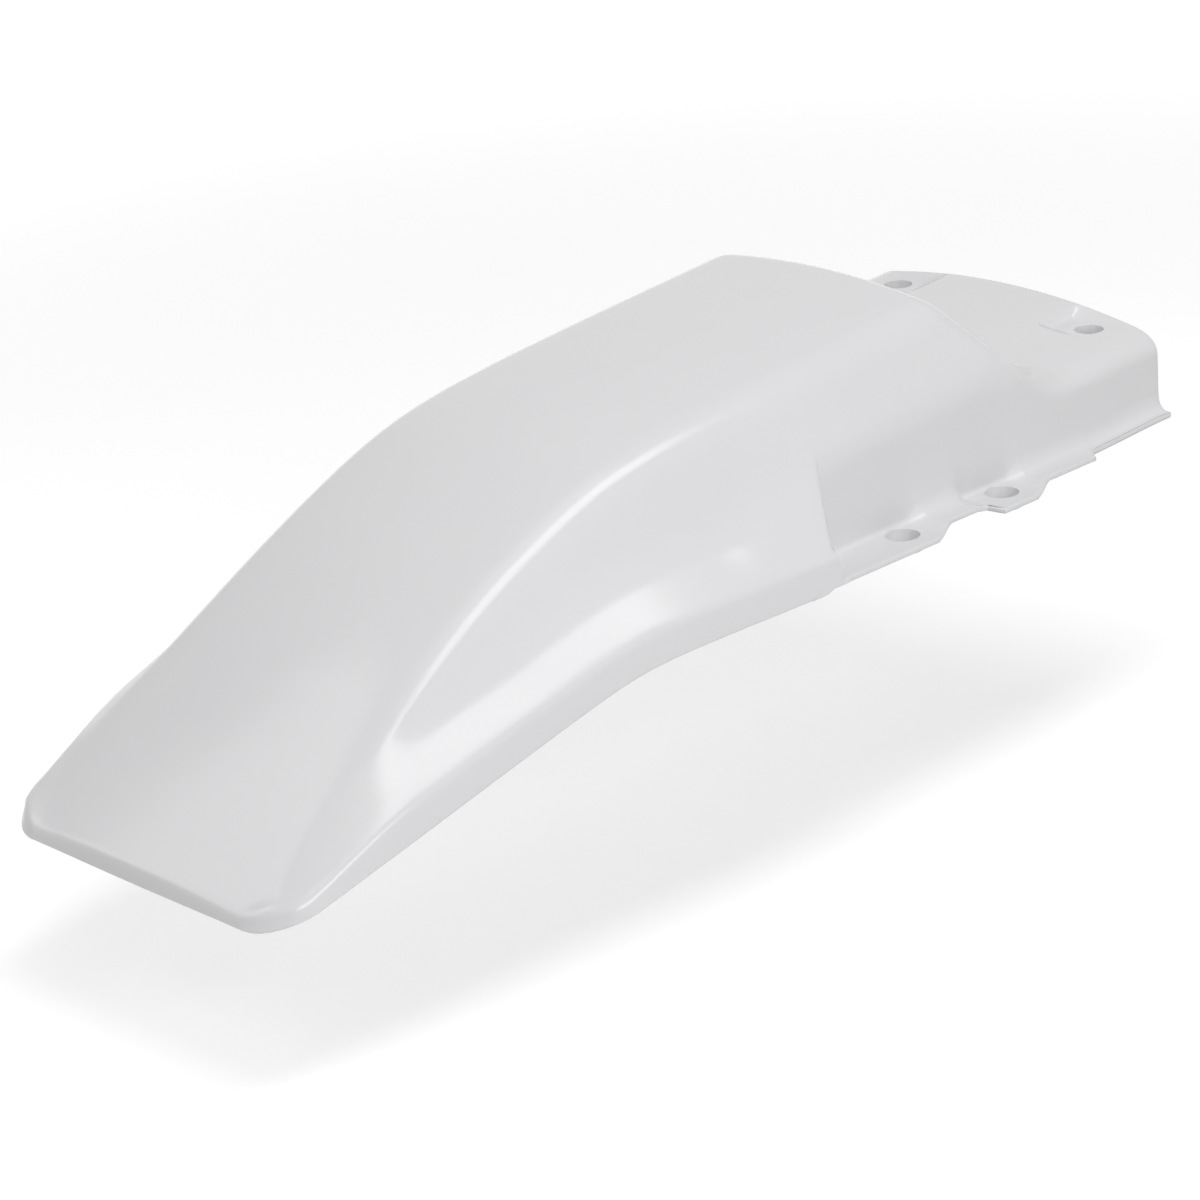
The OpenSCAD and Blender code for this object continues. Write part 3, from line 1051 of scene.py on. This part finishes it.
@dataclass(frozen=True)
class StudioPaper:
    """Matt white paper of the floor, which shows white where no shadow falls."""

    name: str = "studio_paper"
    colour: Colour = (0.8, 0.8, 0.8, 1.0)
    glow: float = 0.49
    far_glow: float = 1.0
    near: float = 0.75
    far: float = 2.5
    fibre_size: float = 40.0
    fibre_detail: float = 4.0
    roughness: float = 0.9
    fibre_roughness: float = 0.08
    specular: float = 0.2

    def build(self) -> bpy.types.Material:
        """Makes the material, whose glow is seen but lights nothing.

        Returns:
            A procedural material on Object coordinates.
        """
        material, nodes = new_material(self.name)
        place = nodes.add("ShaderNodeTexCoord", output="Object")
        fibre = nodes.add("ShaderNodeTexNoise", {},
                          {"Vector": place, "Scale": self.fibre_size, "Detail": self.fibre_detail})
        rough = self.roughness + fibre * self.fibre_roughness
        away = nodes.add("ShaderNodeVectorMath", {"operation": "LENGTH"}, {0: place}, "Value")
        level = nodes.add("ShaderNodeMapRange", {"interpolation_type": "SMOOTHSTEP"},
                          {"Value": away, "From Min": self.near, "From Max": self.far, "To Min": self.glow,
                           "To Max": self.far_glow})
        glow = nodes.add("ShaderNodeMix", {"data_type": "RGBA"},
                         {"Factor": level * nodes.seen(), "A": BLACK, "B": WHITE}, "Result")
        shader = nodes.add("ShaderNodeBsdfPrincipled", {},
                           {"Base Color": self.colour, "Roughness": rough, "Specular IOR Level": self.specular,
                            "Emission Color": glow, "Emission Strength": 1.0})
        nodes.add("ShaderNodeOutputMaterial", {}, {"Surface": shader})
        return material


@dataclass(frozen=True)
class SoftPatch:
    """A region of both sides whose skin is smoothed, in millimetres from the middle plane, with its passes."""

    low: Place
    high: Place
    passes: int
    feather: float = 1.0
    strength: float = 0.5

    def holds(self, place: Vector, inset: float) -> bool:
        """Whether a place in metres lies in the region, drawn in by an inset.

        Args:
            place: The place, on either side.
            inset: How far the region is drawn in, in millimetres.

        Returns:
            Whether the place lies in it.
        """
        where = (place.x / MM, abs(place.y) / MM, place.z / MM)
        sides = (inset, 0.0 if self.low[1] < 0 else inset, inset)
        return all(a + i < w < b - i for a, w, b, i in zip(self.low, where, self.high, sides))


@dataclass
class FenderShell:
    """The moulded shell: skin, wall, rounded rims and holes."""

    sizes: ShellSizes = field(default_factory=ShellSizes)
    counts: SectionCounts = field(default_factory=SectionCounts)
    finish: MouldedPlastic = field(default_factory=MouldedPlastic)
    rim_bevel: float = 0.7
    rim_gap: float = 6.0
    hole_sides: int = 64
    mouth_round: float = 0.3
    mouth_steps: int = 4
    cut_reach: float = 6.0
    merge_reach: float = 0.02
    ring_gap: float = 1.5
    ring_round: float = 0.5
    sharp_angle: float = 55.0
    soft_patches: tuple[SoftPatch, ...] = (
        SoftPatch((52.0, 48.0, 20.0), (108.0, 112.0, 90.0), 14),
        SoftPatch((-470.0, -1.0, -90.0), (-352.0, 99.0, 20.0), 16, 1.2),
        SoftPatch((2.0, 94.0, 3.5), (30.0, 106.0, 45.0), 8),
    )

    def build(self) -> bpy.types.Object:
        """Builds the shell and lets it stand for its CAD node.

        Returns:
            The finished object.
        """
        skin = FenderSkin(FenderForm(self.sizes, self.counts))
        bm = bmesh.new()
        self.spread_skin(bm, skin)
        self.drop_tail_lip(bm, skin)
        bmesh.ops.remove_doubles(bm, verts=bm.verts, dist=self.merge_reach * MM)
        bmesh.ops.recalc_face_normals(bm, faces=bm.faces)
        self.face_outwards(bm)
        for patch in self.soft_patches:
            self.soften(bm, patch)
        self.thicken(bm, skin.form)
        shell = in_scene("fender_shell", as_mesh(bm, "fender_shell"))
        self.pierce(shell, skin.form)
        self.merge_cuts(shell.data)
        self.keep_inside(shell.data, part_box("fender"))
        self.smooth(shell.data)
        shell.data.materials.clear()
        shell.data.materials.append(self.finish.build())
        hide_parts("fender")
        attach(shell, "root")
        return shell

    def spread_skin(self, bm: bmesh.types.BMesh, skin: FenderSkin) -> None:
        """Lays a grid over the rows and steps of the outer skin.

        Args:
            bm: The mesh that gets the grid.
            skin: Places of the points.
        """
        rows, half = len(skin.stations) - 1, skin.form.counts.half
        made = bmesh.ops.create_grid(bm, x_segments=rows, y_segments=2 * half, size=1.0)
        for v in made["verts"]:
            v.co = skin.point(grid_index(v.co.x, rows), grid_index(v.co.y, 2 * half) - half)

    def drop_tail_lip(self, bm: bmesh.types.BMesh, skin: FenderSkin) -> None:
        """Lays a second grid down the lip across the tail end.

        Args:
            bm: The mesh that gets the grid.
            skin: Places of the points.
        """
        c = skin.form.counts
        deck, band = c.deck, c.half - c.deck
        made = bmesh.ops.create_grid(bm, x_segments=band, y_segments=2 * deck, size=1.0)
        for v in made["verts"]:
            k, n = grid_index(v.co.x, band), grid_index(v.co.y, 2 * deck) - deck
            if abs(n) == deck:
                v.co = skin.point(0, (deck + k) * (-1 if n < 0 else 1))
            else:
                v.co = skin.tail_point(n, k)

    @staticmethod
    def face_outwards(bm: bmesh.types.BMesh) -> None:
        """Turns the open skin so that its crown faces up.

        Args:
            bm: The open skin.
        """
        up = sum(f.normal.z * f.calc_area() for f in bm.faces)
        if up < 0:
            bmesh.ops.reverse_faces(bm, faces=bm.faces)

    @staticmethod
    def soften(bm: bmesh.types.BMesh, patch: SoftPatch) -> None:
        """Smooths the skin inside a region, less and less towards its border.

        Args:
            bm: The open skin.
            patch: The region, with its passes.
        """
        for k in range(patch.passes):
            verts = [v for v in bm.verts if not v.is_boundary and patch.holds(v.co, k * patch.feather)]
            bmesh.ops.smooth_vert(bm, verts=verts, factor=patch.strength, use_axis_x=True, use_axis_y=True,
                                  use_axis_z=True)

    def thicken(self, bm: bmesh.types.BMesh, form: FenderForm) -> None:
        """Gives the skin its wall, inwards, and rounds the rims.

        Args:
            bm: The open skin, which becomes a closed shell.
            form: Guide lines that say where the flared side ends.
        """
        outer = set(bm.verts)
        brink = [v for v in bm.verts if v.is_boundary]
        bmesh.ops.solidify(bm, geom=list(bm.faces), thickness=self.sizes.wall * MM)
        inner: set[bmesh.types.BMVert] = set()
        for v in brink:
            for w in (e.other_vert(v) for e in v.link_edges):
                if w not in outer:
                    inner.add(w)
                    if abs(w.co.z - v.co.z) < self.sizes.wall * MM / 2:
                        w.co.z = v.co.z
        self.trim_front(bm)
        rims = [f for f in bm.faces if any(v in inner for v in f.verts) and any(v in outer for v in f.verts)]
        self.round_rims(bm, rims, inner, set(brink), form)
        self.trim_front(bm)

    def trim_front(self, bm: bmesh.types.BMesh) -> None:
        """Brings what stands ahead of the front edge back to it."""
        for v in bm.verts:
            v.co.x = min(v.co.x, self.sizes.front_reach * MM)

    def round_rims(self, bm: bmesh.types.BMesh, rims: list[bmesh.types.BMFace], inner: set[bmesh.types.BMVert],
                   brink: set[bmesh.types.BMVert], form: FenderForm) -> None:
        """Bevels both edges of the rims, apart from the corner at the flared side's end.

        Args:
            bm: The closed shell.
            rims: Faces between the outer skin and the inner one.
            inner: Points of the rims on the inner skin.
            brink: Points of the rims on the outer skin.
            form: Guide lines that say where the flared side ends.
        """
        low = (form.lip_corner_x - self.rim_gap) * MM
        high = (form.s.flare_x + form.s.draft + form.s.end_round) * MM
        edges = dict.fromkeys(
            e for f in rims for e in f.edges
            if (all(v in inner for v in e.verts) or all(v in brink for v in e.verts))
            and not any(low < v.co.x < high for v in e.verts)
        )
        bmesh.ops.bevel(bm, geom=list(edges), offset=self.rim_bevel * MM, offset_type="OFFSET", segments=2,
                        profile=0.5, affect="EDGES", clamp_overlap=False, material=-1)

    def pierce(self, shell: bpy.types.Object, form: FenderForm) -> None:
        """Adds the rings below the holes and cuts the holes.

        Args:
            shell: The closed shell.
            form: Guide lines that say where the holes are.
        """
        s = self.sizes
        tabs = [(x, y, 0.0) for x in (-form.hole_x, form.hole_x) for y in (-s.tab_span / 2, s.tab_span / 2)]
        pads = [(form.seat_x, y, s.pad_z) for y in (-form.seat_y, form.seat_y)]
        rings = [(p, s.tab_boss / 2) for p in tabs] + [(p, s.seat_boss / 2) for p in pads]
        bores = [(p, s.tab_bore / 2) for p in tabs] + [(p, s.seat_bore / 2) for p in pads]
        self.combine(shell, "UNION", [self.ring(p, r) for p, r in rings])
        self.combine(shell, "DIFFERENCE", [self.cutter(p, r) for p, r in bores])

    def ring(self, place: Place, radius: float) -> bpy.types.Object:
        """Plain ring body below a hole.

        Args:
            place: Middle of the hole, in millimetres.
            radius: Outer radius, in millimetres.

        Returns:
            The body.
        """
        low, high, r = -self.sizes.boss_depth, -self.ring_gap, self.ring_round
        profile = [(0, low), (radius - r, low), (radius, low + r), (radius, high), (0, high)]
        return self.turned("ring", place, profile)

    def cutter(self, place: Place, radius: float) -> bpy.types.Object:
        """Bore cutter with a rounded upper mouth.

        Args:
            place: Middle of the hole, in millimetres.
            radius: Radius of the bore, in millimetres.

        Returns:
            The body.
        """
        r, low, reach = self.mouth_round, -self.sizes.boss_depth, self.cut_reach
        arc = [math.pi / 2 * k / self.mouth_steps for k in range(self.mouth_steps)]
        mouth = [(radius + r * (1 - math.cos(a)), r * (math.sin(a) - 1)) for a in arc]
        profile = [(0, low - reach), (radius, low - reach), *mouth, (radius + r, 0), (radius + r, reach), (0, reach)]
        return self.turned("bore", place, profile)

    def turned(self, name: str, place: Place, profile: list[Point]) -> bpy.types.Object:
        """Spins a profile about the vertical through a place.

        Args:
            name: Name of the body.
            place: Middle of the body, in millimetres.
            profile: Points as (radius, height), in millimetres.

        Returns:
            The body as an object.
        """
        bm = bmesh.new()
        verts = [bm.verts.new((r * MM, 0, z * MM)) for r, z in profile]
        edges = [bm.edges.new(pair) for pair in zip(verts, verts[1:])]
        bmesh.ops.spin(bm, geom=verts + edges, cent=(0, 0, 0), axis=(0, 0, 1), angle=2 * math.pi,
                       steps=self.hole_sides, use_merge=True)
        bmesh.ops.remove_doubles(bm, verts=bm.verts, dist=self.merge_reach * MM)
        bmesh.ops.recalc_face_normals(bm, faces=bm.faces)
        bmesh.ops.translate(bm, verts=bm.verts, vec=Vector(place) * MM)
        return in_scene(name, as_mesh(bm, name))

    @staticmethod
    def combine(shell: bpy.types.Object, operation: str, bodies: list[bpy.types.Object]) -> None:
        """Joins the bodies to the shell or cuts them from it, one by one.

        Args:
            shell: The shell, which gets a new mesh.
            operation: Blender's name for joining or cutting.
            bodies: The bodies, which are used up.
        """
        for body in bodies:
            modifier = shell.modifiers.new(operation.lower(), "BOOLEAN")
            modifier.operation = operation
            modifier.solver = "EXACT"
            modifier.object = body
        graph = bpy.context.evaluated_depsgraph_get()
        mesh = bpy.data.meshes.new_from_object(shell.evaluated_get(graph))
        mesh.name = "fender_shell"
        old = shell.data
        shell.modifiers.clear()
        shell.data = mesh
        bpy.data.meshes.remove(old)
        for body in bodies:
            data = body.data
            bpy.data.objects.remove(body)
            bpy.data.meshes.remove(data)

    def merge_cuts(self, mesh: bpy.types.Mesh) -> None:
        """Merges the points that the cuts leave almost in one place.

        Args:
            mesh: The pierced shell.
        """
        bm = bmesh.new()
        bm.from_mesh(mesh)
        bmesh.ops.remove_doubles(bm, verts=bm.verts, dist=self.merge_reach * MM)
        bmesh.ops.dissolve_degenerate(bm, edges=bm.edges, dist=self.merge_reach * MM)
        bm.to_mesh(mesh)
        bm.free()

    @staticmethod
    def keep_inside(mesh: bpy.types.Mesh, box: tuple[Vector, Vector]) -> None:
        """Draws the finer mesh in by the tenths of a millimetre that it stands proud of the solid.

        Args:
            mesh: The finished shell.
            box: Lowest and highest corner of the solid.
        """
        heights = [v.co.z for v in mesh.vertices]
        low = min(1.0, box[0][2] / min(heights))
        high = min(1.0, box[1][2] / max(heights))
        for v in mesh.vertices:
            v.co.z *= low if v.co.z < 0 else high

    def smooth(self, mesh: bpy.types.Mesh) -> None:
        """Shades the faces smooth and keeps the edges of the rims and holes."""
        mesh.shade_smooth()
        mesh.set_sharp_from_angle(angle=math.radians(self.sharp_angle))


@dataclass(frozen=True)
class Softbox:
    """A rectangular studio lamp, by its heading and height in degrees and its sides in metres."""

    name: str
    heading: float
    height: float
    width: float
    depth: float
    watts: float
    reach: float = 2.0
    aim: Place = (-0.13, 0.0, 0.0)

    def build(self) -> bpy.types.Object:
        """Hangs the lamp at its reach from the object and aims it.

        Returns:
            The lamp.
        """
        data = bpy.data.lights.new(self.name, "AREA")
        data.shape = "RECTANGLE"
        data.size = self.width
        data.size_y = self.depth
        data.energy = self.watts
        lamp = in_scene(self.name, data)
        heading, height = math.radians(self.heading), math.radians(self.height)
        way = Vector((math.cos(heading) * math.cos(height), math.sin(heading) * math.cos(height), math.sin(height)))
        lamp.location = Vector(self.aim) + way * self.reach
        lamp.rotation_euler = (-way).to_track_quat("-Z", "Y").to_euler()
        return lamp


@dataclass(frozen=True)
class Viewpoint:
    """The photograph's camera, in millimetres, degrees and lens length."""

    eye: Place = (-1515.0, -1519.0, 787.0)
    yaw: float = 47.965
    pitch: float = 21.692
    roll: float = -4.308
    lens: float = 130.47
    sensor: float = 36.0
    clip_end: float = 50.0

    def build(self) -> bpy.types.Object:
        """Sets up the scene's camera.

        Returns:
            The camera.
        """
        yaw, pitch, roll = (math.radians(v) for v in (self.yaw, self.pitch, self.roll))
        ahead = Vector((math.cos(yaw) * math.cos(pitch), math.sin(yaw) * math.cos(pitch), -math.sin(pitch)))
        right = Vector((math.sin(yaw), -math.cos(yaw), 0.0))
        up = right.cross(ahead)
        rolled_right = math.cos(roll) * right + math.sin(roll) * up
        rolled_up = -math.sin(roll) * right + math.cos(roll) * up
        turn = Matrix((rolled_right, rolled_up, -ahead)).transposed()
        data = bpy.data.cameras.new("camera")
        data.sensor_width = self.sensor
        data.lens = self.lens
        data.clip_end = self.clip_end
        camera = in_scene("camera", data)
        camera.matrix_world = Matrix.Translation(Vector(self.eye) * MM) @ turn.to_4x4()
        bpy.context.scene.camera = camera
        return camera


@dataclass
class Studio:
    """Floor, lamps, world and camera."""

    floor_z: float = -0.15
    floor_size: float = 16.0
    ambient: float = 0.24
    paper: StudioPaper = field(default_factory=StudioPaper)
    camera: Viewpoint = field(default_factory=Viewpoint)
    lamps: tuple[Softbox, ...] = (
        Softbox("front", 250.0, 20.0, 1.0, 1.0, 14.0),
        Softbox("overhead", 0.0, 88.0, 1.2, 1.2, 3.0),
        Softbox("strip", 270.0, 76.0, 1.5, 0.6, 11.5, 1.85, (0.08, 0.0, 0.0)),
        Softbox("left", 135.0, 38.0, 1.2, 1.2, 6.5),
    )

    def build(self) -> None:
        """Sets up everything around the object."""
        self.lay_floor()
        for lamp in self.lamps:
            lamp.build()
        self.light_world()
        self.camera.build()
        bpy.context.scene.view_settings.view_transform = "Standard"

    def lay_floor(self) -> bpy.types.Object:
        """Lays the pale floor under the object.

        Returns:
            The floor.
        """
        bm = bmesh.new()
        bmesh.ops.create_grid(bm, x_segments=2, y_segments=2, size=self.floor_size / 2)
        bmesh.ops.translate(bm, verts=bm.verts, vec=(0, 0, self.floor_z))
        floor = in_scene("floor", as_mesh(bm, "floor"))
        floor.data.materials.append(self.paper.build())
        return floor

    def light_world(self) -> None:
        """Lights the scene evenly and shows white where nothing stands."""
        world = bpy.data.worlds.new("studio")
        bpy.context.scene.world = world
        world.use_nodes = True
        nodes = Nodes(world.node_tree)
        strength = nodes.seen() * (1.0 - self.ambient) + self.ambient
        light = nodes.add("ShaderNodeBackground", {}, {"Color": WHITE, "Strength": strength})
        nodes.add("ShaderNodeOutputWorld", {}, {"Surface": light})


def main() -> None:
    """Builds the shell and the studio in order."""
    logging.basicConfig(level=logging.INFO, format="%(name)s: %(message)s")
    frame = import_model()
    LOG.info("frame with %d node(s)", len(frame["nodes"]))
    shell = FenderShell().build()
    LOG.info("%s: %d faces", shell.name, len(shell.data.polygons))
    Studio().build()
    LOG.info("studio: floor, lamps, world and camera")


if __name__ == "__main__":
    main()
